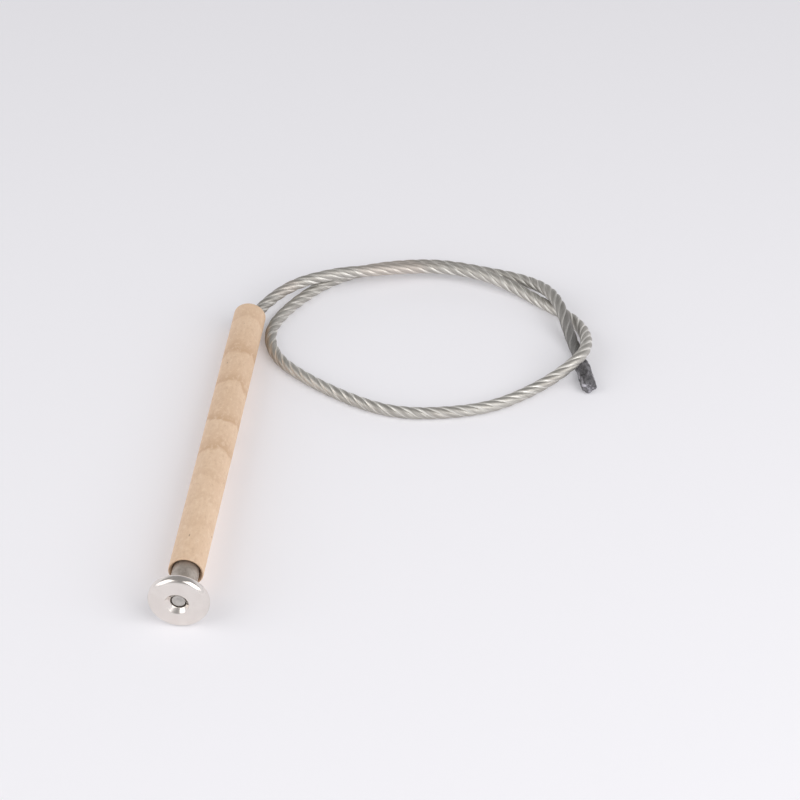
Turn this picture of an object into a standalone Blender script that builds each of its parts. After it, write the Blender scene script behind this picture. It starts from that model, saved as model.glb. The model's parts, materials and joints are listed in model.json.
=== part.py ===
"""Flint spark lighter: a bored wooden grip on a steel sleeve, with a plated round head that holds
a flint rod, and a steel wire rope that runs out through the grip and ends in a fused tip.

The tool lies on z = 0, on the rim of its head and the far end of its grip, with the grip along +Y
and the origin under the middle of the tool without its free rope. Lengths are in metres.
"""

import math

import bpy
import bmesh
import numpy as np
from mathutils import Vector

FIT_GAP = 0.0003            # clearance between pieces that touch or nest

# Plated head: a thick round washer with rounded edges and a countersunk hole.
HEAD_RADIUS = 0.01375
HEAD_THICKNESS = 0.0054
HEAD_FRONT_EDGE = 0.0026    # rounding of the rim in front
HEAD_BACK_EDGE = 0.0020     # and behind
HOLE_RADIUS = 0.0041
COUNTERSINK_RADIUS = 0.0055
SOCKET_DEPTH = 0.0012       # recess in the back face that seats the sleeve

# Steel sleeve: a tube from the head into the grip.
SLEEVE_RADIUS = 0.0060
SLEEVE_BORE = 0.0035
SLEEVE_MOUTH = 0.0041       # wider front stretch of the bore, level with the head's hole
SLEEVE_MOUTH_DEPTH = 0.0080
SLEEVE_LENGTH = 0.0610
SLEEVE_CHAMFER = 0.0004

# Flint rod, held in the front of the sleeve.
FLINT_RADIUS = 0.0031
FLINT_LENGTH = 0.0232
FLINT_DEPTH = 0.0023        # its face lies this far behind the head's front face
FLINT_EDGE = 0.0003

# Wooden grip: a tube that slides on the sleeve and the rope.
GRIP_RADIUS = 0.0080
GRIP_BORE = 0.0064
GRIP_START = 0.0210         # from the head's front face to the grip's near end
GRIP_LENGTH = 0.1920
GRIP_EDGE = 0.0005
MOUTH_FLARE = 0.0006        # how much wider the bore is at each end
MOUTH_DEPTH = 0.0010

# Wire rope: four strands laid right-handed round a thin core.
ROPE_RADIUS = 0.0030
ROPE_LAY = 0.0264           # length of one full turn of a strand
STRAND_COUNT = 4
STRAND_RADIUS = 0.00105
STRAND_CIRCLE = 0.00178     # radius of the circle of strand centres
CORE_RADIUS = 0.00060
STRAND_START = 0.0317       # the swaged end inside the sleeve
STRAND_END = 0.1978
STRAND_STEPS_PER_TURN = 10

# Free run of the rope: inside the bore, out of the grip, one and a half turns and down to the tip.
ROPE_ROUTE = [
    (0.0000, 0.0923, 0.0084), (0.0022, 0.1060, 0.0080), (0.0105, 0.1231, 0.0084),
    (0.0209, 0.1337, 0.0094), (0.0309, 0.1394, 0.0098), (0.0419, 0.1443, 0.0097),
    (0.0558, 0.1492, 0.0086), (0.0734, 0.1548, 0.0073), (0.0936, 0.1570, 0.0070),
    (0.1113, 0.1544, 0.0067), (0.1229, 0.1506, 0.0056), (0.1346, 0.1453, 0.0036),
    (0.1461, 0.1374, 0.0031), (0.1574, 0.1292, 0.0031), (0.1650, 0.1193, 0.0039),
    (0.1684, 0.1060, 0.0074), (0.1680, 0.0935, 0.0097), (0.1628, 0.0835, 0.0093),
    (0.1531, 0.0758, 0.0050), (0.1404, 0.0654, 0.0031), (0.1248, 0.0544, 0.0031),
    (0.1031, 0.0474, 0.0031), (0.0790, 0.0459, 0.0031), (0.0538, 0.0544, 0.0031),
    (0.0267, 0.0716, 0.0031), (0.0154, 0.0848, 0.0031), (0.0115, 0.0995, 0.0031),
    (0.0146, 0.1138, 0.0031), (0.0246, 0.1318, 0.0031), (0.0401, 0.1488, 0.0031),
    (0.0621, 0.1598, 0.0031), (0.0901, 0.1645, 0.0031), (0.1134, 0.1612, 0.0031),
    (0.1299, 0.1570, 0.0035), (0.1422, 0.1486, 0.0060), (0.1500, 0.1368, 0.0093),
    (0.1555, 0.1235, 0.0097), (0.1604, 0.1104, 0.0054), (0.1645, 0.0999, 0.0031),
    (0.1668, 0.0918, 0.0031),
]
ROUTE_SPACING = 0.012       # two diameters between the tube's points
ROUTE_FINENESS = 16         # spline samples between two route points

# Fused tip: the rope's end, burnt and swollen.
TIP_LENGTH = 0.0190
TIP_RADIUS = 0.0037
TIP_RISE = 0.0008           # its axis climbs as it swells, so its underside stays level
TIP_GAP = 0.0006            # clears the rope's end face, which leans a few degrees

ROUND_SEGMENTS = 48
SMALL_SEGMENTS = 32
ARC_STEPS = 5


def resting_tilt():
    """Angle of the tool's axis when the head's rim and the grip's far end both touch the ground."""
    span = GRIP_START + GRIP_LENGTH - GRIP_EDGE - (HEAD_THICKNESS - HEAD_BACK_EDGE)
    rim_drop = (HEAD_RADIUS - HEAD_BACK_EDGE) - (GRIP_RADIUS - GRIP_EDGE)
    edge_drop = HEAD_BACK_EDGE - GRIP_EDGE
    return math.asin(edge_drop / math.hypot(span, rim_drop)) + math.atan2(rim_drop, span)


def tool_placement(tilt):
    """Position of the head's front centre, with the tool's box centred on the origin."""
    height = ((HEAD_THICKNESS - HEAD_BACK_EDGE) * math.sin(tilt)
              + (HEAD_RADIUS - HEAD_BACK_EDGE) * math.cos(tilt) + HEAD_BACK_EDGE)
    front = (HEAD_FRONT_EDGE * math.cos(tilt)
             - (HEAD_RADIUS - HEAD_FRONT_EDGE) * math.sin(tilt) - HEAD_FRONT_EDGE)
    grip_end = GRIP_START + GRIP_LENGTH - GRIP_EDGE
    back = grip_end * math.cos(tilt) + (GRIP_RADIUS - GRIP_EDGE) * math.sin(tilt) + GRIP_EDGE
    return Vector((0.0, -(front + back) / 2, height))


def material(name, colour, roughness, metallic):
    """A plain Principled material."""
    made = bpy.data.materials.new(name)
    made.use_nodes = True
    shader = made.node_tree.nodes["Principled BSDF"]
    shader.inputs["Base Color"].default_value = (*colour, 1.0)
    shader.inputs["Roughness"].default_value = roughness
    shader.inputs["Metallic"].default_value = metallic
    return made


def add_object(name, data, surface, parent=None):
    """Link one named object that carries one material."""
    made = bpy.data.objects.new(name, data)
    data.materials.append(surface)
    bpy.context.scene.collection.objects.link(made)
    made.parent = parent
    return made


def arc(centre_y, centre_r, radius, start, end):
    """Outline points (y, r) round a corner, with angles in degrees from +y towards +r."""
    points = []
    for step in range(ARC_STEPS + 1):
        angle = math.radians(start + (end - start) * step / ARC_STEPS)
        points.append((centre_y + radius * math.cos(angle), centre_r + radius * math.sin(angle)))
    return points


def turned(name, outline, surface, segments, parent=None):
    """Turn an outline of (y, r) points round the local Y axis.

    An outline whose two ends lie on the axis makes a solid; any other is closed into a ring.
    """
    shape = bmesh.new()
    points = [shape.verts.new((radius, along, 0.0)) for along, radius in outline]
    edges = [shape.edges.new(pair) for pair in zip(points[:-1], points[1:])]
    on_axis = outline[0][1] == 0.0 and outline[-1][1] == 0.0
    if not on_axis:
        edges.append(shape.edges.new((points[-1], points[0])))
    bmesh.ops.spin(shape, geom=points + edges, cent=(0, 0, 0), axis=(0, 1, 0),
                   angle=2 * math.pi, steps=segments, use_merge=True)
    bmesh.ops.remove_doubles(shape, verts=shape.verts, dist=1e-6)
    bmesh.ops.recalc_face_normals(shape, faces=shape.faces)
    mesh = bpy.data.meshes.new(name)
    shape.to_mesh(mesh)
    shape.free()
    mesh.shade_smooth()
    mesh.set_sharp_from_angle(angle=math.radians(35))
    return add_object(name, mesh, surface, parent)


def tube(name, points, radius, surface, resolution, parent=None):
    """A round bar along the given points, with flat ends."""
    curve = bpy.data.curves.new(name, "CURVE")
    curve.dimensions = "3D"
    curve.fill_mode = "FULL"
    curve.bevel_depth = radius
    curve.bevel_resolution = resolution
    curve.use_fill_caps = True
    spline = curve.splines.new("POLY")
    spline.points.add(len(points) - 1)
    for place, point in zip(spline.points, points):
        place.co = (*point, 1.0)
    return add_object(name, curve, surface, parent)


def smooth_path(knots, spacing):
    """Evenly spaced points on a natural cubic spline through the knots."""
    knots = np.array(knots)
    steps = np.sqrt(np.linalg.norm(np.diff(knots, axis=0), axis=1))
    count = len(knots)
    system = np.eye(count)
    target = np.zeros((count, 3))
    for i in range(1, count - 1):
        before, after = steps[i - 1], steps[i]
        system[i, i - 1:i + 2] = before, 2 * (before + after), after
        target[i] = 6 * ((knots[i + 1] - knots[i]) / after - (knots[i] - knots[i - 1]) / before)
    bend = np.linalg.solve(system, target)
    fine = []
    for i in range(count - 1):
        for u in np.linspace(0.0, 1.0, ROUTE_FINENESS, endpoint=False):
            v = 1.0 - u
            curved = (v ** 3 - v) * bend[i] + (u ** 3 - u) * bend[i + 1]
            fine.append(v * knots[i] + u * knots[i + 1] + curved * steps[i] ** 2 / 6)
    fine = np.array(fine + [knots[-1]])
    along = np.concatenate([[0.0], np.cumsum(np.linalg.norm(np.diff(fine, axis=0), axis=1))])
    even = np.linspace(0.0, along[-1], round(along[-1] / spacing) + 1)
    return np.stack([np.interp(even, along, fine[:, axis]) for axis in range(3)], axis=1)


def plated_head(surface, parent):
    """Round head with a countersunk hole in front and a socket for the sleeve behind."""
    front_rim = HEAD_RADIUS - HEAD_FRONT_EDGE
    back_rim = HEAD_RADIUS - HEAD_BACK_EDGE
    cone_depth = COUNTERSINK_RADIUS - HOLE_RADIUS
    socket_floor = HEAD_THICKNESS - SOCKET_DEPTH
    socket_radius = SLEEVE_RADIUS + FIT_GAP
    outline = [(cone_depth, HOLE_RADIUS), (0.0, COUNTERSINK_RADIUS)]
    outline += arc(HEAD_FRONT_EDGE, front_rim, HEAD_FRONT_EDGE, 180, 90)
    outline += arc(HEAD_THICKNESS - HEAD_BACK_EDGE, back_rim, HEAD_BACK_EDGE, 90, 0)
    outline += [(HEAD_THICKNESS, socket_radius), (socket_floor, socket_radius), (socket_floor, HOLE_RADIUS)]
    return turned("plated_head", outline, surface, ROUND_SEGMENTS, parent)


def steel_sleeve(surface, parent):
    """Tube from the head's socket into the grip, with a wider mouth round the flint."""
    start = HEAD_THICKNESS - SOCKET_DEPTH + FIT_GAP
    end = start + SLEEVE_LENGTH
    mouth_end = start + SLEEVE_MOUTH_DEPTH
    outline = [(mouth_end, SLEEVE_BORE), (mouth_end, SLEEVE_MOUTH), (start, SLEEVE_MOUTH),
               (start, SLEEVE_RADIUS - SLEEVE_CHAMFER),
               (start + SLEEVE_CHAMFER, SLEEVE_RADIUS), (end - SLEEVE_CHAMFER, SLEEVE_RADIUS),
               (end, SLEEVE_RADIUS - SLEEVE_CHAMFER), (end, SLEEVE_BORE)]
    return turned("steel_sleeve", outline, surface, ROUND_SEGMENTS, parent)


def flint_rod(surface, parent):
    """Round rod in the front of the sleeve, with its face set back in the head's hole."""
    end = FLINT_DEPTH + FLINT_LENGTH
    outline = [(FLINT_DEPTH, 0.0), (FLINT_DEPTH, FLINT_RADIUS - FLINT_EDGE),
               (FLINT_DEPTH + FLINT_EDGE, FLINT_RADIUS), (end, FLINT_RADIUS), (end, 0.0)]
    return turned("flint_rod", outline, surface, SMALL_SEGMENTS, parent)


def wooden_grip(surface, parent):
    """Bored wooden tube with eased outer edges and a bore flared at both mouths."""
    start = GRIP_START
    end = GRIP_START + GRIP_LENGTH
    outer = GRIP_RADIUS - GRIP_EDGE
    mouth = GRIP_BORE + MOUTH_FLARE
    outline = [(start + MOUTH_DEPTH, GRIP_BORE), (start, mouth)]
    outline += arc(start + GRIP_EDGE, outer, GRIP_EDGE, 180, 90)
    outline += arc(end - GRIP_EDGE, outer, GRIP_EDGE, 90, 0)
    outline += [(end, mouth), (end - MOUTH_DEPTH, GRIP_BORE)]
    return turned("wooden_grip", outline, surface, ROUND_SEGMENTS, parent)


def inner_rope(surface, parent):
    """The strands of the rope's straight run inside the sleeve and the grip."""
    tube("rope_core", [(0.0, STRAND_START, 0.0), (0.0, STRAND_END, 0.0)], CORE_RADIUS, surface, 2, parent)
    turns = (STRAND_END - STRAND_START) / ROPE_LAY
    steps = round(turns * STRAND_STEPS_PER_TURN)
    for index in range(STRAND_COUNT):
        points = []
        for step in range(steps + 1):
            along = STRAND_START + (STRAND_END - STRAND_START) * step / steps
            angle = 2 * math.pi * (index / STRAND_COUNT - along / ROPE_LAY)
            points.append((STRAND_CIRCLE * math.cos(angle), along, STRAND_CIRCLE * math.sin(angle)))
        tube(f"rope_strand_{index + 1}", points, STRAND_RADIUS, surface, 1, parent)


def free_rope(rope_surface, tip_surface):
    """The rope's free run on the ground, and the fused tip at its end."""
    path = smooth_path(ROPE_ROUTE, ROUTE_SPACING)
    tube("wire_rope", path, ROPE_RADIUS, rope_surface, 3)
    end = Vector(path[-1])
    heading = (end - Vector(path[-2])).normalized()
    outline = [(0.0, 0.0), (0.0, ROPE_RADIUS - FIT_GAP), (0.06 * TIP_LENGTH, ROPE_RADIUS),
               (0.30 * TIP_LENGTH, ROPE_RADIUS), (0.62 * TIP_LENGTH, TIP_RADIUS),
               (0.90 * TIP_LENGTH, TIP_RADIUS), (TIP_LENGTH, 0.82 * TIP_RADIUS), (TIP_LENGTH, 0.0)]
    tip = turned("fused_tip", outline, tip_surface, SMALL_SEGMENTS)
    tip.location = end + heading * TIP_GAP
    tip.rotation_euler = (TIP_RISE / TIP_LENGTH, 0.0, math.atan2(-heading.x, heading.y))


def build():
    """Make every piece of the lighter."""
    nickel = material("plated_nickel", (0.78, 0.77, 0.75), 0.22, 1.0)
    steel = material("grey_steel", (0.36, 0.36, 0.36), 0.50, 1.0)
    wood = material("pale_wood", (0.72, 0.52, 0.34), 0.60, 0.0)
    flint = material("flint_metal", (0.42, 0.42, 0.41), 0.60, 0.8)
    wire = material("steel_wire", (0.62, 0.60, 0.56), 0.35, 1.0)
    burnt = material("burnt_steel", (0.06, 0.06, 0.065), 0.65, 0.4)

    tilt = resting_tilt()
    axis_frame = bpy.data.objects.new("tool_axis", None)
    axis_frame.location = tool_placement(tilt)
    axis_frame.rotation_euler = (-tilt, 0.0, 0.0)
    bpy.context.scene.collection.objects.link(axis_frame)

    plated_head(nickel, axis_frame)
    steel_sleeve(steel, axis_frame)
    flint_rod(flint, axis_frame)
    wooden_grip(wood, axis_frame)
    inner_rope(wire, axis_frame)
    free_rope(wire, burnt)
    bpy.context.view_layer.update()


for old in list(bpy.data.objects):
    bpy.data.objects.remove(old)
build()
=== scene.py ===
"""Looks of the flint spark lighter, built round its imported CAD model.

The grip, sleeve, head, flint, rope and fused tip are fine meshes that stand for the CAD nodes, in
procedural materials, on a pale studio floor. Lengths are in metres.
"""

import json
import math

import bpy
import numpy as np
from mathutils import Matrix, Vector, noise


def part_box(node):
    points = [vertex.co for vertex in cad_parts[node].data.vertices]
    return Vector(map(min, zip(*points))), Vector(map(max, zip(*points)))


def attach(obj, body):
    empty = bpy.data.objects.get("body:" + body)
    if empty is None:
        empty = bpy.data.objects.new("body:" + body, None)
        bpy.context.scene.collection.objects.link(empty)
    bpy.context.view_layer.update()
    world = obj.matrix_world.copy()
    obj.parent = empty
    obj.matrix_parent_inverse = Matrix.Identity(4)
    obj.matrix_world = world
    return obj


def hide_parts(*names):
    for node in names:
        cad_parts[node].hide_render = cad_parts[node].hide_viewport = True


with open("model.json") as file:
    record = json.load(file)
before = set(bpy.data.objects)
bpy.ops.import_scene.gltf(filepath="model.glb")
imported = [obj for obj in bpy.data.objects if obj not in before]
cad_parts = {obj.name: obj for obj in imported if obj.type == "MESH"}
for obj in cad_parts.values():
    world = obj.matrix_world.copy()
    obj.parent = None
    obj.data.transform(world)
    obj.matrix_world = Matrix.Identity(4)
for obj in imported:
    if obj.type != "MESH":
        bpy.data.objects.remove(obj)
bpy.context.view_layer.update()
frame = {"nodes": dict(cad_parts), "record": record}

SPINDLE = "spindle"
GRIP = "grip"
FLINT = "flint"

# Camera.
CAMERA_PLACE = (0.1767, -0.8819, 0.7902)
CAMERA_DIP = 39.9           # degrees below level
CAMERA_HEADING = 5.84       # degrees to the left of +Y
CAMERA_LENS = 114.0         # in millimetres, as is the next
SENSOR_WIDTH = 36.0

# Rope: four strands laid right-handed and pressed into one another, with wires across each.
ROPE_RADIUS = 0.0030
ROPE_LAY = 0.0264
STRAND_COUNT = 4
STRAND_GROOVE = 0.16        # depth of the valleys between strands, as a part of the rope's radius
STRAND_FLATNESS = 2.4       # the higher, the flatter a strand's back
STRAND_ROOT = 0.0015        # distance of a strand's inner side from the rope's axis
ROOT_SHARE = 0.9            # width of that side, as a part of the strand's sector
# painted shade on a strand's inner side, deep in the rope
ROOT_PAINTED_SHADE = 0.1
WIRES_ACROSS = 5            # wires seen across a strand's back
WIRES_AROUND = 9            # outer wires in a strand
WIRE_LAY = 0.0300
WIRE_GROOVE = 0.00016
POINTS_PER_WIRE = 4
WIRE_TONES = 0.26           # how much wires differ in paleness
# Places across a strand's back, from -1 to 1, and the painted light there: a painted highlight beside one
# valley, and painted darker backs where the strands reflect the dark room above. What passes 1 is cut off
# later.
VALLEY_PAINTED_LIGHT = ((-1.0, -0.86, -0.62, -0.30, 0.25, 0.75, 1.0), (0.60, 1.10, 0.66, 0.30, 0.18, 0.30, 0.40))
GROOVE_PAINTED_SHADE = 0.62         # painted shade between wires: the paleness there, as a part of that on the crests
SHADE_SEED = 4
CORE_RADIUS = 0.00090
CORE_SIDES = 10
# painted shade on the core inside the rope
CORE_PAINTED_SHADE = 0.2
RING_STEP = 0.0011
HEAT_LENGTH = 0.110         # the stretch before the tip that heat has dulled

# The free rope's route, from inside the bore to the fused tip, with the same points as the CAD's.
# The points were worked out outside these scripts, and were not chosen by hand.
ROPE_ROUTE = [
    (0.0000, 0.0923, 0.0084), (0.0022, 0.1060, 0.0080), (0.0105, 0.1231, 0.0084),
    (0.0209, 0.1337, 0.0094), (0.0309, 0.1394, 0.0098), (0.0419, 0.1443, 0.0097),
    (0.0558, 0.1492, 0.0086), (0.0734, 0.1548, 0.0073), (0.0936, 0.1570, 0.0070),
    (0.1113, 0.1544, 0.0067), (0.1229, 0.1506, 0.0056), (0.1346, 0.1453, 0.0036),
    (0.1461, 0.1374, 0.0031), (0.1574, 0.1292, 0.0031), (0.1650, 0.1193, 0.0039),
    (0.1684, 0.1060, 0.0074), (0.1680, 0.0935, 0.0097), (0.1628, 0.0835, 0.0093),
    (0.1531, 0.0758, 0.0050), (0.1404, 0.0654, 0.0031), (0.1248, 0.0544, 0.0031),
    (0.1031, 0.0474, 0.0031), (0.0790, 0.0459, 0.0031), (0.0538, 0.0544, 0.0031),
    (0.0267, 0.0716, 0.0031), (0.0154, 0.0848, 0.0031), (0.0115, 0.0995, 0.0031),
    (0.0146, 0.1138, 0.0031), (0.0246, 0.1318, 0.0031), (0.0401, 0.1488, 0.0031),
    (0.0621, 0.1598, 0.0031), (0.0901, 0.1645, 0.0031), (0.1134, 0.1612, 0.0031),
    (0.1299, 0.1570, 0.0035), (0.1422, 0.1486, 0.0060), (0.1500, 0.1368, 0.0093),
    (0.1555, 0.1235, 0.0097), (0.1604, 0.1104, 0.0054), (0.1645, 0.0999, 0.0031),
    (0.1668, 0.0918, 0.0031),
]
ROUTE_FINENESS = 24

# Room, lights and floor.
HORIZON_LIGHT = (0.84, 0.84, 0.872)
CEILING_LIGHT = (0.31, 0.308, 0.310)
HORIZON_TOP = 0.25          # height of a direction, from 0 level to 1 straight up
CEILING_START = 0.62
SOFTBOX_POWER = 8.4
SOFTBOX_SIZE = 1.2
SOFTBOX_TARGET = (0.06, -0.02, 0.0)
# Each softbox: its name, its place and its share of the power.
SOFTBOXES = (
    ("softbox_right", (0.92, -0.55, 0.90), 1.2),
    ("softbox_left", (-0.95, -0.55, 0.85), 0.8),
)
FLOOR_HALF = 4.0            # half the floor's side
FLOOR_COLOUR = (0.80, 0.79, 0.82)
FLOOR_GLOW_COLOUR = (0.98, 0.98, 1.0)
FLOOR_GLOW = 0.16           # light scattered inside the pale floor

# Turned pieces, measured on the CAD nodes where they can be.
HEAD_FRONT_EDGE = 0.0026
HEAD_BACK_EDGE = 0.0020
HEAD_LIP = 0.0004           # width of the worn edge round the countersink
INNER_EASE = 0.0002         # easing of the head's inner corners
HOLE_RADIUS = 0.0036
COUNTERSINK_RADIUS = 0.0054
COUNTERSINK_DEPTH = 0.0020
COUNTERSINK_SHIFT = 0.0005  # its mouth is worn to one side
SHIFT_END = 0.0085          # radius on the head's face at which that shift has faded out
SOCKET_DEPTH = 0.0012
SOCKET_GAP = 0.0002
SLEEVE_BORE = 0.0035
SLEEVE_MOUTH = 0.0041
SLEEVE_MOUTH_DEPTH = 0.0080
SLEEVE_CHAMFER = 0.0004
SLEEVE_WOBBLE = 0.00002
FLINT_EDGE = 0.0003
FLINT_RIPPLE = 0.00002      # height of the rings left on the flint's face
FLINT_RINGS = 12
GRIP_BORE = 0.0063
GRIP_EDGE = 0.0005
GRIP_SEGMENTS = 128
MOUTH_FLARE = 0.0008
MOUTH_DEPTH = 0.0015
MOUTH_EASE = 0.0001
END_GRAIN_DEPTH = 0.0004    # how far the end faces' darker grain reaches along the outside
END_GRAIN_SHADE = 0.50
# painted shade on the bore's widened mouth
MOUTH_PAINTED_SHADE = 0.85
TURNED_SEGMENTS = 160

# Burnt tip.
TIP_RINGS = 84
TIP_SIDES = 120
TIP_OVERLAP = 0.0012        # how far it reaches back over the rope
TIP_RISE = 0.04             # upward slope of its axis
TIP_RADIUS = 0.00295        # where it begins
TIP_SWELL = 0.00050         # growth over its first stretch
TIP_SWELL_END = 0.22        # where that stretch ends, as a part of its length
TIP_TAPER = 0.00025         # steady growth over its whole length
TIP_CLOSING = 0.055         # its rounded end, as a part of its length
TIP_END_SHARE = 0.45        # radius of its end face, as a part of the radius before
TIP_LOBES = 0.050           # how far the strands still stand out where it begins
TIP_RAGGED = 0.0018         # unevenness of its end along the axis

# Sharp edges of the darker bands across the wood: distance from the head's front, and strength.
# At least four of the distances were worked out outside this script.
WOOD_BANDS = [
    (0.0464, 0.30), (0.0609, 0.30), (0.0779, 0.40), (0.0981, 0.90), (0.1213, 1.00),
    (0.1492, 0.90), (0.1751, 1.00), (0.2004, 0.50),
]
BAND_SPAN = 0.25
BAND_WAVER = 0.0035
BAND_BEFORE = 0.0010        # a band starts this far before its edge,
BAND_FULL = 0.0004          # is darkest this far past it
BAND_FADE = 0.0085          # and has faded to its tail here
BAND_BASE = 0.05            # strength between bands
BAND_TAIL = 0.30            # strength of the tail, as a part of the band's


# ---------------------------------------------------------------- camera, lights and floor

def add_camera():
    """Camera in front of the tool, above it and to its right."""
    data = bpy.data.cameras.new("camera")
    data.sensor_width = SENSOR_WIDTH
    data.lens = CAMERA_LENS
    camera = bpy.data.objects.new("camera", data)
    camera.location = CAMERA_PLACE
    camera.rotation_euler = (math.radians(90.0 - CAMERA_DIP), 0.0, math.radians(CAMERA_HEADING))
    bpy.context.scene.collection.objects.link(camera)
    bpy.context.scene.camera = camera


def add_softbox(name, location, energy):
    """A square area light that faces the tool."""
    data = bpy.data.lights.new(name, "AREA")
    data.shape = "SQUARE"
    data.size = SOFTBOX_SIZE
    data.energy = energy
    light = bpy.data.objects.new(name, data)
    light.location = location
    direction = Vector(SOFTBOX_TARGET) - Vector(location)
    light.rotation_euler = direction.to_track_quat("-Z", "Y").to_euler()
    bpy.context.scene.collection.objects.link(light)


def add_world():
    """Room light: pale near the horizon, darker overhead."""
    world = bpy.data.worlds.new("studio")
    bpy.context.scene.world = world
    world.use_nodes = True
    tree = world.node_tree
    coords = tree.nodes.new("ShaderNodeTexCoord")
    split = tree.nodes.new("ShaderNodeSeparateXYZ")
    tree.links.new(coords.outputs["Generated"], split.inputs["Vector"])
    overhead = remap(tree, split.outputs["Z"], HORIZON_TOP, CEILING_START)
    colour = mix(tree, overhead, HORIZON_LIGHT, CEILING_LIGHT)
    tree.links.new(colour, tree.nodes["Background"].inputs["Color"])


def add_studio():
    """Pale floor, room light and a softbox on either side."""
    add_world()
    for name, location, share in SOFTBOXES:
        add_softbox(name, location, share * SOFTBOX_POWER)
    half = FLOOR_HALF
    corners = [(-half, -half, 0.0), (half, -half, 0.0), (half, half, 0.0), (-half, half, 0.0)]
    mesh = bpy.data.meshes.new("floor")
    mesh.from_pydata(corners, [], [(0, 1, 2, 3)])
    floor = bpy.data.objects.new("floor", mesh)
    bpy.context.scene.collection.objects.link(floor)
    floor_material, _, shader = surface("floor", colour=FLOOR_COLOUR, roughness=0.9)
    shader.inputs["Emission Color"].default_value = (*FLOOR_GLOW_COLOUR, 1.0)
    shader.inputs["Emission Strength"].default_value = FLOOR_GLOW
    mesh.materials.append(floor_material)


# ---------------------------------------------------------------- shader helpers

def surface(name, colour=None, roughness=None, metallic=None, specular=None):
    """A Principled material: returns it with its node tree and its shader."""
    made = bpy.data.materials.new(name)
    made.use_nodes = True
    tree = made.node_tree
    shader = tree.nodes["Principled BSDF"]
    if colour is not None:
        shader.inputs["Base Color"].default_value = (*colour, 1.0)
    if roughness is not None:
        shader.inputs["Roughness"].default_value = roughness
    if metallic is not None:
        shader.inputs["Metallic"].default_value = metallic
    if specular is not None:
        shader.inputs["Specular IOR Level"].default_value = specular
    return made, tree, shader


def feed(tree, socket, value):
    """Connect a socket to an output, or set it to a plain value."""
    if isinstance(value, bpy.types.NodeSocket):
        tree.links.new(value, socket)
    elif isinstance(value, tuple) and len(value) == 3 and socket.type == "RGBA":
        socket.default_value = (*value, 1.0)
    else:
        socket.default_value = value


def object_coords(tree, scale=(1.0, 1.0, 1.0)):
    """The piece's own coordinates in metres, stretched by scale."""
    coords = tree.nodes.new("ShaderNodeTexCoord")
    mapping = tree.nodes.new("ShaderNodeMapping")
    mapping.inputs["Scale"].default_value = scale
    tree.links.new(coords.outputs["Object"], mapping.inputs["Vector"])
    return mapping.outputs["Vector"]


def attribute(tree, name):
    """A number stored on the mesh's points."""
    reader = tree.nodes.new("ShaderNodeAttribute")
    reader.attribute_name = name
    return reader.outputs["Fac"]


def noise_field(tree, vector, scale, detail=3.0, roughness=0.5, distortion=0.0):
    """Fractal noise from 0 to 1."""
    field = tree.nodes.new("ShaderNodeTexNoise")
    tree.links.new(vector, field.inputs["Vector"])
    field.inputs["Scale"].default_value = scale
    field.inputs["Detail"].default_value = detail
    field.inputs["Roughness"].default_value = roughness
    field.inputs["Distortion"].default_value = distortion
    return field.outputs["Fac"]


def remap(tree, value, low, high, to_low=0.0, to_high=1.0):
    """Value from low..high to to_low..to_high, smoothly and clamped."""
    mapper = tree.nodes.new("ShaderNodeMapRange")
    mapper.interpolation_type = "SMOOTHSTEP"
    feed(tree, mapper.inputs["Value"], value)
    limits = {"From Min": low, "From Max": high, "To Min": to_low, "To Max": to_high}
    for socket, number in limits.items():
        mapper.inputs[socket].default_value = number
    return mapper.outputs["Result"]


def maths(tree, operation, a, b=0.0):
    """One arithmetic step."""
    step = tree.nodes.new("ShaderNodeMath")
    step.operation = operation
    feed(tree, step.inputs[0], a)
    feed(tree, step.inputs[1], b)
    return step.outputs["Value"]


def mix(tree, factor, a, b):
    """Colour a turning into colour b."""
    mixer = tree.nodes.new("ShaderNodeMix")
    mixer.data_type = "RGBA"
    feed(tree, mixer.inputs["Factor"], factor)
    feed(tree, mixer.inputs[6], a)
    feed(tree, mixer.inputs[7], b)
    return mixer.outputs[2]


def layered(tree, colour, layers):
    """A colour under layers of other colours.

    A layer is (field, low, high, most, colour): it grows from nothing where the field is low to
    most, at 1 all of its colour, where the field is high.
    """
    for field, low, high, most, layer_colour in layers:
        colour = mix(tree, remap(tree, field, low, high, 0.0, most), colour, layer_colour)
    return colour


def bump(tree, height, distance, strength=1.0, normal=None):
    """A surface normal raised by height, 0 to 1, times distance in metres."""
    bumper = tree.nodes.new("ShaderNodeBump")
    bumper.inputs["Strength"].default_value = strength
    bumper.inputs["Distance"].default_value = distance
    feed(tree, bumper.inputs["Height"], height)
    if normal is not None:
        tree.links.new(normal, bumper.inputs["Normal"])
    return bumper.outputs["Normal"]


def radius_from_axis(tree):
    """Distance from the tool's axis, in metres."""
    coords = object_coords(tree, (1.0, 0.0, 1.0))
    length = tree.nodes.new("ShaderNodeVectorMath")
    length.operation = "LENGTH"
    tree.links.new(coords, length.inputs[0])
    return length.outputs["Value"]


# ---------------------------------------------------------------- materials

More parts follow.
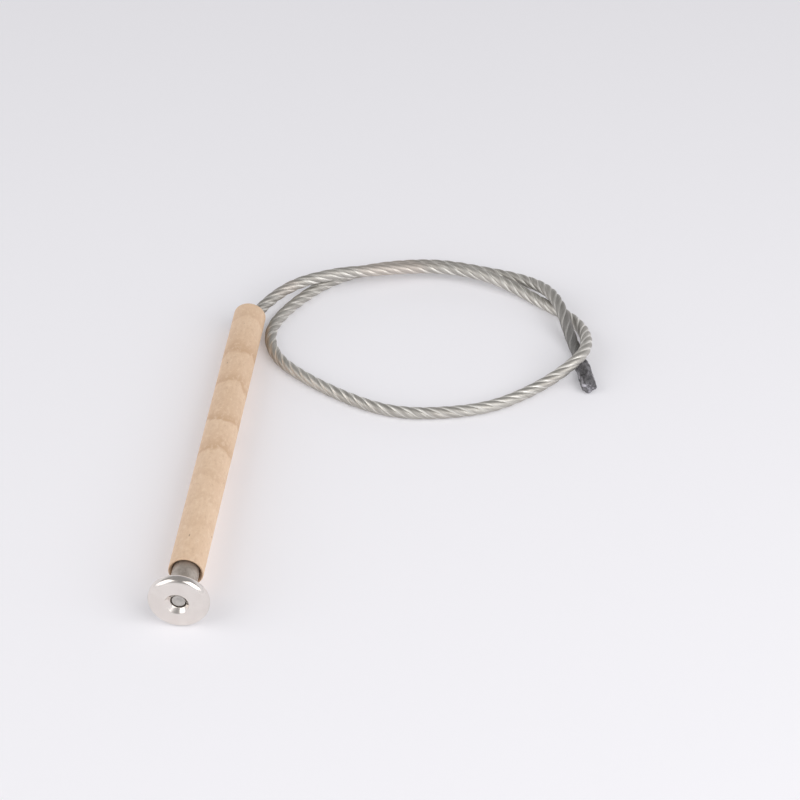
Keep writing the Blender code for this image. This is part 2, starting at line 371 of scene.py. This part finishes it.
def wood_bands(tree):
    """Bands of darker wood across the grip: each starts at a sharp edge and fades towards the far end."""
    coords = object_coords(tree)
    split = tree.nodes.new("ShaderNodeSeparateXYZ")
    tree.links.new(coords, split.inputs["Vector"])
    waver = noise_field(tree, object_coords(tree, (1.0, 0.4, 1.0)), scale=95.0, detail=2.0)
    shift = remap(tree, waver, 0.2, 0.8, -BAND_WAVER, BAND_WAVER)
    place = maths(tree, "MULTIPLY", maths(tree, "ADD", split.outputs["Y"], shift), 1.0 / BAND_SPAN)
    ramp = tree.nodes.new("ShaderNodeValToRGB")
    tree.links.new(place, ramp.inputs["Fac"])
    stops = [(0.0, 0.15)]
    for edge, strength in WOOD_BANDS:
        stops.append((edge - BAND_BEFORE, BAND_BASE))
        stops.append((edge + BAND_FULL, strength))
        stops.append((edge + BAND_FADE, BAND_TAIL * strength))
    elements = ramp.color_ramp.elements
    while len(elements) < len(stops):
        elements.new(0.5)
    for element, (where, strength) in zip(elements, stops):
        element.position = where / BAND_SPAN
        element.color = (strength, strength, strength, 1.0)
    return ramp.outputs["Color"]


def wood_material():
    """Pale sanded beech: darker bands across it, fine mottle and flecks, darker end grain, and painted
    shading inside the bore and on its widened mouth.
    """
    made, tree, shader = surface("pale_wood", metallic=0.0, specular=0.30)
    grain = noise_field(tree, object_coords(tree, (1.0, 0.12, 1.0)), scale=900.0, detail=4.0, roughness=0.6)
    mottle = noise_field(tree, object_coords(tree, (1.0, 0.6, 1.0)), scale=620.0, detail=5.0, roughness=0.65)
    speckle = noise_field(tree, object_coords(tree, (1.0, 0.8, 1.0)), scale=1500.0, detail=2.0)
    broad = noise_field(tree, object_coords(tree, (1.0, 0.6, 1.0)), scale=60.0)
    flecks = noise_field(tree, object_coords(tree, (1.0, 0.5, 1.0)), scale=700.0, detail=0.0, roughness=0.4)
    colour = mix(tree, wood_bands(tree), (0.835, 0.618, 0.438), (0.640, 0.420, 0.262))
    colour = layered(tree, colour, (
        (broad, 0.40, 0.65, 0.20, (0.700, 0.480, 0.312)),
        (grain, 0.38, 0.70, 0.22, (0.670, 0.460, 0.300)),
        (mottle, 0.50, 0.66, 0.42, (0.900, 0.710, 0.540)),
        (mottle, 0.46, 0.32, 0.42, (0.650, 0.440, 0.285)),
        (speckle, 0.62, 0.74, 0.30, (0.520, 0.345, 0.220)),
        (flecks, 0.86, 0.90, 0.60, (0.250, 0.160, 0.105)),
    ))
    # Darker end grain on the end faces, and painted shade inside the bore and on its widened mouth.
    colour = mix(tree, attribute(tree, "end_grain_and_painted_shade"), colour, (0.440, 0.300, 0.200))
    feed(tree, shader.inputs["Base Color"], colour)
    feed(tree, shader.inputs["Roughness"], remap(tree, mottle, 0.3, 0.7, 0.52, 0.66))
    fine = bump(tree, grain, distance=0.00005, strength=0.6)
    feed(tree, shader.inputs["Normal"], bump(tree, mottle, distance=0.00005, strength=0.5, normal=fine))
    return made


def nickel_material():
    """Bright nickel plate with faint turning rings and a few hairline scratches."""
    made, tree, shader = surface("nickel_plate", metallic=1.0)
    ring_wave = maths(tree, "SINE", maths(tree, "MULTIPLY", radius_from_axis(tree), 14000.0))
    wander = noise_field(tree, object_coords(tree), scale=240.0, detail=4.0, roughness=0.6)
    smudge = noise_field(tree, object_coords(tree), scale=90.0, detail=4.0, roughness=0.55, distortion=0.8)
    scratches = noise_field(tree, object_coords(tree, (1.0, 1.0, 0.07)), scale=2600.0, detail=1.0,
                            roughness=0.4)
    colour = layered(tree, (0.830, 0.780, 0.735), ((smudge, 0.35, 0.70, 1.0, (0.790, 0.735, 0.690)),))
    feed(tree, shader.inputs["Base Color"], colour)
    feed(tree, shader.inputs["Roughness"], remap(tree, wander, 0.30, 0.72, 0.15, 0.27))
    rings = bump(tree, ring_wave, distance=0.0000012, strength=0.35)
    feed(tree, shader.inputs["Normal"], bump(tree, scratches, distance=0.000004, strength=0.25, normal=rings))
    return made


def sleeve_material():
    """Plain grey steel tube, dulled by handling, with fine drawing marks along it."""
    made, tree, shader = surface("drawn_steel", metallic=0.85)
    marks = noise_field(tree, object_coords(tree, (1.0, 0.03, 1.0)), scale=2400.0, roughness=0.6)
    stain = noise_field(tree, object_coords(tree), scale=330.0, detail=5.0, roughness=0.65, distortion=0.4)
    colour = layered(tree, (0.56, 0.505, 0.450), (
        (stain, 0.38, 0.66, 1.0, (0.43, 0.375, 0.325)),
        (marks, 0.45, 0.70, 0.35, (0.60, 0.55, 0.50)),
    ))
    feed(tree, shader.inputs["Base Color"], colour)
    feed(tree, shader.inputs["Roughness"], remap(tree, stain, 0.3, 0.7, 0.50, 0.66))
    feed(tree, shader.inputs["Normal"], bump(tree, marks, distance=0.00002, strength=0.5))
    return made


def flint_material():
    """Dull flint metal with a worn, slightly pitted face."""
    made, tree, shader = surface("flint_metal", metallic=0.65)
    pits = noise_field(tree, object_coords(tree), scale=1400.0, detail=5.0, roughness=0.6)
    stain = noise_field(tree, object_coords(tree), scale=420.0)
    colour = layered(tree, (0.61, 0.585, 0.55), (
        (stain, 0.35, 0.68, 1.0, (0.49, 0.47, 0.445)),
        (pits, 0.60, 0.74, 0.6, (0.20, 0.20, 0.20)),
    ))
    feed(tree, shader.inputs["Base Color"], colour)
    feed(tree, shader.inputs["Roughness"], remap(tree, pits, 0.3, 0.7, 0.50, 0.68))
    feed(tree, shader.inputs["Normal"], bump(tree, pits, distance=0.00005, strength=0.6))
    return made


def wire_material():
    """Dull galvanised wire with painted light: painted darker strand backs, a painted highlight beside each
    valley and painted darkening between wires; darkened by heat towards the tip.
    """
    made, tree, shader = surface("steel_wire", metallic=0.80)
    painted_light_and_tone = attribute(tree, "painted_light_and_tone")
    scorch = attribute(tree, "scorch")
    worn = noise_field(tree, object_coords(tree), scale=48.0, roughness=0.6)
    warm = noise_field(tree, object_coords(tree), scale=21.0)
    fine = noise_field(tree, object_coords(tree), scale=1500.0, roughness=0.6)
    # The base colour is the painted dark of the strands' backs; the pale first layer is the painted
    # highlight, with the wires' own tone.
    colour = layered(tree, (0.430, 0.410, 0.375), (
        (painted_light_and_tone, 0.10, 0.95, 1.0, (0.960, 0.940, 0.890)),
        (worn, 0.44, 0.66, 0.45, (0.640, 0.615, 0.570)),
        (warm, 0.50, 0.64, 0.45, (0.680, 0.585, 0.520)),
        (fine, 0.56, 0.74, 0.35, (0.390, 0.370, 0.330)),
        (scorch, 0.20, 0.65, 0.45, (0.300, 0.288, 0.272)),
        (scorch, 0.58, 0.90, 0.62, (0.150, 0.150, 0.154)),
    ))
    feed(tree, shader.inputs["Base Color"], colour)
    rough = maths(tree, "ADD", remap(tree, fine, 0.3, 0.7, 0.44, 0.58),
                  maths(tree, "MULTIPLY", scorch, 0.12))
    feed(tree, shader.inputs["Roughness"], rough)
    feed(tree, shader.inputs["Normal"], bump(tree, fine, distance=0.00003, strength=0.4))
    return made


def burnt_material():
    """Blackened, scaled steel with silvery ash patches, most of them near its end."""
    made, tree, shader = surface("burnt_steel", metallic=0.45, specular=0.5)
    scale = noise_field(tree, object_coords(tree, (1.0, 0.5, 1.0)), scale=520.0, detail=4.0, roughness=0.6,
                        distortion=0.3)
    ash = noise_field(tree, object_coords(tree, (1.0, 0.45, 1.0)), scale=360.0, roughness=0.55,
                      distortion=0.4)
    towards_end = remap(tree, attribute(tree, "along"), 0.30, 0.85, 0.25, 1.0)
    colour = layered(tree, (0.075, 0.073, 0.077), ((scale, 0.35, 0.68, 1.0, (0.215, 0.208, 0.217)),))
    ashen = maths(tree, "MULTIPLY", remap(tree, ash, 0.46, 0.66), towards_end)
    colour = mix(tree, ashen, colour, (0.500, 0.485, 0.520))
    feed(tree, shader.inputs["Base Color"], colour)
    feed(tree, shader.inputs["Roughness"], remap(tree, scale, 0.3, 0.7, 0.40, 0.70))
    feed(tree, shader.inputs["Normal"], bump(tree, scale, distance=0.00018, strength=0.8))
    return made


# ---------------------------------------------------------------- mesh helpers

def mesh_object(name, points, faces, look, sharp_degrees=40.0):
    """An object of these points and faces, shaded smooth except at sharp edges."""
    mesh = bpy.data.meshes.new(name)
    mesh.from_pydata([tuple(p) for p in points], [], faces)
    mesh.materials.append(look)
    mesh.validate()
    mesh.shade_smooth()
    mesh.set_sharp_from_angle(angle=math.radians(sharp_degrees))
    made = bpy.data.objects.new(name, mesh)
    bpy.context.scene.collection.objects.link(made)
    return made


def store(piece, name, values):
    """Keep one number for each of the piece's points."""
    layer = piece.data.attributes.new(name, "FLOAT", "POINT")
    layer.data.foreach_set("value", np.asarray(values, np.float32))


def ring_faces(rings, around, start=0, closed=False):
    """Quads between successive rings of points; closed joins the last ring to the first."""
    faces = []
    for ring in range(rings if closed else rings - 1):
        here = start + ring * around
        there = start + ((ring + 1) % rings) * around
        for i in range(around):
            j = (i + 1) % around
            faces.append((here + i, here + j, there + j, there + i))
    return faces


def arc(centre_y, centre_r, radius, start, end, steps=10):
    """Outline points (y, r) round a corner, with angles in degrees from +y towards +r."""
    angles = np.radians(np.linspace(start, end, steps + 1))
    return [(centre_y + radius * math.cos(a), centre_r + radius * math.sin(a)) for a in angles]


def line(first, last, steps):
    """Outline points from first up to, but without, last."""
    return [(first[0] + (last[0] - first[0]) * k / steps, first[1] + (last[1] - first[1]) * k / steps)
            for k in range(steps)]


def turned(name, outline, look, wobble=None, segments=TURNED_SEGMENTS):
    """Turn an outline of (y, r) points round the tool's axis.

    An outline that starts and ends on the axis makes a solid; any other is closed into a ring.
    wobble(y, angle, r) gives a small change of radius.
    """
    solid = outline[0][1] == 0.0 and outline[-1][1] == 0.0
    rings = outline[1:-1] if solid else outline
    points = []
    for along, radius in rings:
        for i in range(segments):
            angle = 2 * math.pi * i / segments
            grown = radius + (wobble(along, angle, radius) if wobble else 0.0)
            points.append((grown * math.cos(angle), along, grown * math.sin(angle)))
    faces = ring_faces(len(rings), segments, closed=not solid)
    if solid:
        first_pole, last_pole = len(points), len(points) + 1
        points += [(0.0, outline[0][0], 0.0), (0.0, outline[-1][0], 0.0)]
        last_ring = (len(rings) - 1) * segments
        for i in range(segments):
            j = (i + 1) % segments
            faces.append((first_pole, j, i))
            faces.append((last_pole, last_ring + i, last_ring + j))
    made = mesh_object(name, points, faces, look)
    made.matrix_world = TOOL
    return made


def place_on_tool():
    """The tool's own frame: origin at the head's front centre, +Y along the axis to the grip's end."""
    mount = next(m for m in frame["record"]["mounts"] if m["name"] == "head_face")
    along = -Vector(mount["axis"]).normalized()
    side = Vector((1.0, 0.0, 0.0))
    up = side.cross(along)
    rotation = Matrix((side, along, up)).transposed().to_4x4()
    return Matrix.Translation((0.0, mount["pos_m"][1], mount["pos_m"][2])) @ rotation


def span(node):
    """Where a CAD node starts and ends along the tool's axis, and its largest radius."""
    local = TOOL.inverted()
    points = [local @ v.co for v in frame["nodes"][node].data.vertices]
    ends = [p.y for p in points]
    return min(ends), max(ends), max(math.hypot(p.x, p.z) for p in points)


def smooth_path(knots, spacing):
    """Evenly spaced points on a natural cubic spline through the knots."""
    knots = np.array(knots)
    steps = np.sqrt(np.linalg.norm(np.diff(knots, axis=0), axis=1))
    count = len(knots)
    system = np.eye(count)
    target = np.zeros((count, 3))
    for i in range(1, count - 1):
        before, after = steps[i - 1], steps[i]
        system[i, i - 1:i + 2] = before, 2 * (before + after), after
        target[i] = 6 * ((knots[i + 1] - knots[i]) / after - (knots[i] - knots[i - 1]) / before)
    bend = np.linalg.solve(system, target)
    fine = []
    for i in range(count - 1):
        for u in np.linspace(0.0, 1.0, ROUTE_FINENESS, endpoint=False):
            v = 1.0 - u
            curved = (v ** 3 - v) * bend[i] + (u ** 3 - u) * bend[i + 1]
            fine.append(v * knots[i] + u * knots[i + 1] + curved * steps[i] ** 2 / 6)
    fine = np.array(fine + [knots[-1]])
    along = np.concatenate([[0.0], np.cumsum(np.linalg.norm(np.diff(fine, axis=0), axis=1))])
    even = np.linspace(0.0, along[-1], round(along[-1] / spacing) + 1)
    return np.stack([np.interp(even, along, fine[:, axis]) for axis in range(3)], axis=1)


def carried_frames(path):
    """Tangent, and two cross directions that turn as little as they can, at each point of a path."""
    tangents = np.gradient(path, axis=0)
    tangents /= np.linalg.norm(tangents, axis=1)[:, None]
    side = np.array([1.0, 0.0, 0.0]) if abs(tangents[0][0]) < 0.9 else np.array([0.0, 0.0, 1.0])
    sides = []
    for tangent in tangents:
        side = side - tangent * (side @ tangent)
        side /= np.linalg.norm(side)
        sides.append(side)
    sides = np.array(sides)
    return tangents, sides, np.cross(tangents, sides)


# ---------------------------------------------------------------- pieces on the tool's axis

def make_head():
    """Plated head, with its countersunk hole, and the socket behind."""
    start, end, radius = span("plated_head")
    front_rim = radius - HEAD_FRONT_EDGE
    back_rim = radius - HEAD_BACK_EDGE
    socket_floor = end - SOCKET_DEPTH
    _, _, sleeve_radius = span("steel_sleeve")
    socket_radius = sleeve_radius + SOCKET_GAP
    cone_floor = start + COUNTERSINK_DEPTH
    lip_start = start + 0.7 * HEAD_LIP
    outline = line((socket_floor, HOLE_RADIUS), (cone_floor + INNER_EASE, HOLE_RADIUS), 4)
    outline.append((cone_floor + INNER_EASE, HOLE_RADIUS))
    outline.append((cone_floor - 0.5 * INNER_EASE, HOLE_RADIUS + 0.5 * INNER_EASE))
    outline += line((cone_floor - INNER_EASE, HOLE_RADIUS + INNER_EASE), (lip_start, COUNTERSINK_RADIUS), 6)
    outline.append((lip_start, COUNTERSINK_RADIUS))
    outline.append((start + 0.25 * HEAD_LIP, COUNTERSINK_RADIUS + 0.5 * HEAD_LIP))
    outline += line((start, COUNTERSINK_RADIUS + HEAD_LIP + INNER_EASE), (start, front_rim), 10)
    outline += arc(start + HEAD_FRONT_EDGE, front_rim, HEAD_FRONT_EDGE, 180, 90, 16)
    outline += arc(end - HEAD_BACK_EDGE, back_rim, HEAD_BACK_EDGE, 90, 0, 14)
    outline += [(end, socket_radius + INNER_EASE), (end - INNER_EASE, socket_radius)]
    outline.append((socket_floor, socket_radius))

    def shift(along, angle, r):
        """Move the countersink's mouth to one side, less towards its floor and out on the face."""
        if along > cone_floor or r > SHIFT_END:
            return 0.0
        depth = (r - HOLE_RADIUS) / (COUNTERSINK_RADIUS - HOLE_RADIUS)
        fade = (SHIFT_END - r) / (SHIFT_END - COUNTERSINK_RADIUS)
        return -COUNTERSINK_SHIFT * math.cos(angle) * min(1.0, depth, fade)

    head = turned("head", outline, nickel_material(), shift)
    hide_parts("plated_head")
    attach(head, SPINDLE)


def make_sleeve():
    """Steel tube between the head and the grip."""
    start, end, radius = span("steel_sleeve")
    mouth_end = start + SLEEVE_MOUTH_DEPTH
    rim = radius - SLEEVE_CHAMFER
    outline = [(end, SLEEVE_BORE), (mouth_end, SLEEVE_BORE), (mouth_end, SLEEVE_MOUTH), (start, SLEEVE_MOUTH)]
    outline += arc(start + SLEEVE_CHAMFER, rim, SLEEVE_CHAMFER, 180, 90, 4)
    outline += line((start + 2 * SLEEVE_CHAMFER, radius), (end - 2 * SLEEVE_CHAMFER, radius), 60)
    outline += arc(end - SLEEVE_CHAMFER, rim, SLEEVE_CHAMFER, 90, 0, 4)

    def wobble(along, angle, r):
        """Slight unevenness of the outside."""
        if r < rim:
            return 0.0
        where = Vector((300 * math.cos(angle) * r, 180 * along, 300 * math.sin(angle) * r))
        return SLEEVE_WOBBLE * noise.noise(where)

    sleeve = turned("sleeve", outline, sleeve_material(), wobble)
    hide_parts("steel_sleeve")
    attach(sleeve, SPINDLE)


def make_flint():
    """Flint rod with faint rings on its face."""
    start, end, radius = span("flint_rod")
    outline = [(start + FLINT_RIPPLE, 0.0)]
    outline += [(start + FLINT_RIPPLE * (k % 2), radius * k / FLINT_RINGS) for k in range(1, 10)]
    outline += arc(start + FLINT_EDGE, radius - FLINT_EDGE, FLINT_EDGE, 180, 90, 5)
    outline += line((start + 2 * FLINT_EDGE, radius), (end, radius), 12)
    outline += [(end, radius), (end, 0.0)]
    flint = turned("flint_pin", outline, flint_material())
    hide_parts("flint_rod")
    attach(flint, FLINT)


def make_grip():
    """Wooden tube, with eased ends and a hand-sanded, barely uneven surface."""
    start, end, radius = span("wooden_grip")
    outer = radius - GRIP_EDGE
    mouth = GRIP_BORE + MOUTH_FLARE
    outline = line((end - MOUTH_DEPTH, GRIP_BORE), (start + MOUTH_DEPTH, GRIP_BORE), 24)
    outline += line((start + MOUTH_DEPTH, GRIP_BORE), (start + MOUTH_EASE, mouth), 4)
    outline += arc(start + GRIP_EDGE, outer, GRIP_EDGE, 180, 90, 6)
    outline += line((start + 2 * GRIP_EDGE, radius), (end - 2 * GRIP_EDGE, radius), 180)
    outline += arc(end - GRIP_EDGE, outer, GRIP_EDGE, 90, 0, 6)
    outline += line((end - MOUTH_EASE, mouth), (end - MOUTH_DEPTH, GRIP_BORE), 4)

    def wobble(along, angle, r):
        """Slow and fine unevenness of the sanded outside."""
        if r < outer:
            return 0.0
        where = Vector((r * math.cos(angle), along, r * math.sin(angle)))
        slow = noise.noise(where * 45.0)
        fine = noise.noise(Vector((where.x, where.y * 0.2, where.z)) * 420.0)
        return -0.00004 + 0.00005 * slow + 0.000012 * fine

    grip = turned("grip_tube", outline, wood_material(), wobble, segments=GRIP_SEGMENTS)
    dark = []
    for vertex in grip.data.vertices:
        r = math.hypot(vertex.co.x, vertex.co.z)
        depth = min(vertex.co.y - start, end - vertex.co.y)
        face = max(0.0, 1.0 - depth / END_GRAIN_DEPTH) * END_GRAIN_SHADE
        # Painted shade inside the bore and on its widened mouth.
        inside = 1.0 if r < GRIP_BORE + 0.0003 else 0.0
        flare = MOUTH_PAINTED_SHADE if r < mouth - MOUTH_EASE else 0.0
        dark.append(max(face, inside, flare))
    store(grip, "end_grain_and_painted_shade", dark)
    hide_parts("wooden_grip")
    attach(grip, GRIP)


# ---------------------------------------------------------------- rope

def strand_rings(path, sides, ups, along, phase, tones):
    """Rings of points of one strand, wound round the rope's path, and the painted light and darkening, with
    the wire's own tone, at each point.

    A ring runs across the strand's back, over its wires, and returns by its root inside the rope.
    """
    half = math.pi / STRAND_COUNT
    across = np.linspace(-1.0, 1.0, WIRES_ACROSS * POINTS_PER_WIRE + 1)[None, :]
    wire = across * WIRES_ACROSS / 2 - (along * WIRES_AROUND / WIRE_LAY)[:, None]
    crest = 0.5 + 0.5 * np.cos(2 * math.pi * wire)
    valley = STRAND_GROOVE * abs(across) ** STRAND_FLATNESS
    back = ROPE_RADIUS * (1.0 - valley) - WIRE_GROOVE * (1.0 - crest)
    root = np.full((len(path), 2), STRAND_ROOT)
    radii = np.concatenate([back, root], axis=1)
    angles = half * np.concatenate([across[0], [ROOT_SHARE, -ROOT_SHARE]])[None, :]
    turn = (phase + 2 * math.pi * along / ROPE_LAY)[:, None] + angles
    outward = np.cos(turn)[:, :, None] * sides[:, None, :] + np.sin(turn)[:, :, None] * ups[:, None, :]
    # Painted highlight beside one valley and painted darker backs, across each strand.
    painted_flank_light = np.interp(across, *VALLEY_PAINTED_LIGHT)
    tone = tones[np.round(wire).astype(int) % WIRES_AROUND]
    # Painted shade in the grooves between wires, plus each wire's own tone.
    painted_light_and_tone = painted_flank_light * (GROOVE_PAINTED_SHADE + (1.0 - GROOVE_PAINTED_SHADE) * crest) + tone * crest
    # Painted shade on the strand's inner side.
    painted_lights_and_tones = np.concatenate([painted_light_and_tone, np.full(root.shape, ROOT_PAINTED_SHADE)], axis=1).clip(0.0, 1.0)
    return path[:, None, :] + radii[:, :, None] * outward, painted_lights_and_tones


def rope_mesh(name, path, start_along, look):
    """Stranded rope along a path: its strands and a core, in one mesh.

    Returns it with each point's distance along the rope, which is start_along at the path's start.
    """
    _, sides, ups = carried_frames(path)
    steps = np.linalg.norm(np.diff(path, axis=0), axis=1)
    along = start_along + np.concatenate([[0.0], np.cumsum(steps)])
    chance = np.random.default_rng(SHADE_SEED)
    points, faces, painted_lights_and_tones, lengths = [], [], [], []

    def add_tube(rings, ring_painted_lights):
        """Add a closed tube through rings of points."""
        count, around = rings.shape[:2]
        start = len(points)
        points.extend(map(tuple, rings.reshape(-1, 3)))
        faces.extend(ring_faces(count, around, start))
        faces.append(tuple(range(start, start + around))[::-1])
        last = start + (count - 1) * around
        faces.append(tuple(last + i for i in range(around)))
        painted_lights_and_tones.extend(ring_painted_lights.ravel())
        lengths.extend(np.repeat(along, around))

    for index in range(STRAND_COUNT):
        phase = 2 * math.pi * index / STRAND_COUNT
        tones = chance.uniform(-WIRE_TONES, WIRE_TONES, WIRES_AROUND)
        add_tube(*strand_rings(path, sides, ups, along, phase, tones))
    ring = 2 * math.pi * np.arange(CORE_SIDES) / CORE_SIDES
    outward = (np.cos(ring)[None, :, None] * sides[:, None, :]
               + np.sin(ring)[None, :, None] * ups[:, None, :])
    core = path[:, None, :] + CORE_RADIUS * outward
    # Painted shade on the hidden core.
    add_tube(core, np.full(core.shape[:2], CORE_PAINTED_SHADE))
    rope = mesh_object(name, points, faces, look, 70.0)
    # Painted light and shade on the strands and core, with the wires' own tone, for the material.
    store(rope, "painted_light_and_tone", painted_lights_and_tones)
    return rope, np.array(lengths)


def make_rope(look):
    """The rope's free run: returns it with its path and its length.

    The darkening by heat is stored as "scorch", because the renderer keeps the name "heat" for itself.
    """
    path = smooth_path(ROPE_ROUTE, RING_STEP)
    total = np.linalg.norm(np.diff(path, axis=0), axis=1).sum()
    rope, lengths = rope_mesh("rope", path, 0.0, look)
    scorch = ((lengths - (total - HEAT_LENGTH)) / HEAT_LENGTH).clip(0, 1)
    store(rope, "scorch", scorch)
    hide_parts("wire_rope")
    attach(rope, SPINDLE)
    return rope, path, total


def make_inner_rope(look):
    """The straight run inside the sleeve and the grip, up to the free run's first point."""
    start, _, _ = span("rope_core")
    first = TOOL @ Vector((0.0, start, 0.0))
    last = Vector(ROPE_ROUTE[0])
    length = (last - first).length
    count = round(length / (2 * RING_STEP)) + 1
    path = np.array([tuple(first.lerp(last, k / (count - 1))) for k in range(count)])
    inner, lengths = rope_mesh("inner_rope", path, -length, look)
    store(inner, "scorch", np.zeros(len(lengths)))
    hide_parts("rope_core", *(f"rope_strand_{k + 1}" for k in range(STRAND_COUNT)))
    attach(inner, SPINDLE)


def make_tip(path, look):
    """Burnt end of the rope: strands run together into a swollen, lumpy stub."""
    low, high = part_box("fused_tip")
    heading = Vector(path[-1] - path[-2]).normalized()
    heading = Vector((heading.x, heading.y, TIP_RISE)).normalized()
    side = heading.cross(Vector((0.0, 0.0, 1.0))).normalized()
    up = side.cross(heading)
    begin = Vector(path[-1]) - heading * TIP_OVERLAP
    length = (Vector((high.x, low.y, 0.0)) - Vector((path[-1][0], path[-1][1], 0.0))).length
    points, alongs = [], []
    for ring in range(TIP_RINGS):
        t = ring / (TIP_RINGS - 1)
        swell = TIP_RADIUS + TIP_SWELL * min(1.0, t / TIP_SWELL_END) + TIP_TAPER * t
        closing = math.sqrt(max(0.0, 1.0 - max(0.0, (t - (1.0 - TIP_CLOSING)) / TIP_CLOSING) ** 2))
        for i in range(TIP_SIDES):
            angle = 2 * math.pi * i / TIP_SIDES
            lobe = math.cos(STRAND_COUNT * (angle - 2 * math.pi * t * length / ROPE_LAY))
            radius = swell * (1.0 + TIP_LOBES * (1.0 - 0.5 * t) * lobe)
            where = Vector((math.cos(angle) * 3.1, t * length * 1000.0, math.sin(angle) * 3.1))
            drawn = Vector((where.x, 0.45 * where.y, where.z))
            radius += 0.00032 * noise.noise(where * 0.42) + 0.00026 * noise.noise(drawn * 1.25)
            radius += 0.00008 * noise.noise(drawn * 2.9)
            radius *= TIP_END_SHARE + (1.0 - TIP_END_SHARE) * closing
            ragged = TIP_RAGGED * noise.noise(where * 0.55 + Vector((7.0, 3.0, 1.0))) * t ** 6
            place = begin + heading * (t * length + ragged)
            place += side * (radius * math.cos(angle)) + up * (radius * math.sin(angle))
            points.append((place.x, place.y, max(place.z, 0.0001)))
            alongs.append(t)
    faces = ring_faces(TIP_RINGS, TIP_SIDES)
    faces.append(tuple(range(TIP_SIDES))[::-1])
    last = (TIP_RINGS - 1) * TIP_SIDES
    faces.append(tuple(last + i for i in range(TIP_SIDES)))
    tip = mesh_object("burnt_tip", points, faces, look, 60.0)
    store(tip, "along", alongs)
    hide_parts("fused_tip")
    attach(tip, SPINDLE)
    return tip


# ---------------------------------------------------------------- the whole

TOOL = place_on_tool()
bpy.context.scene.view_settings.view_transform = "Standard"
add_camera()
wire = wire_material()
rope, rope_path, rope_length = make_rope(wire)
tip = make_tip(rope_path, burnt_material())
make_inner_rope(wire)
make_head()
make_sleeve()
make_flint()
make_grip()
add_studio()
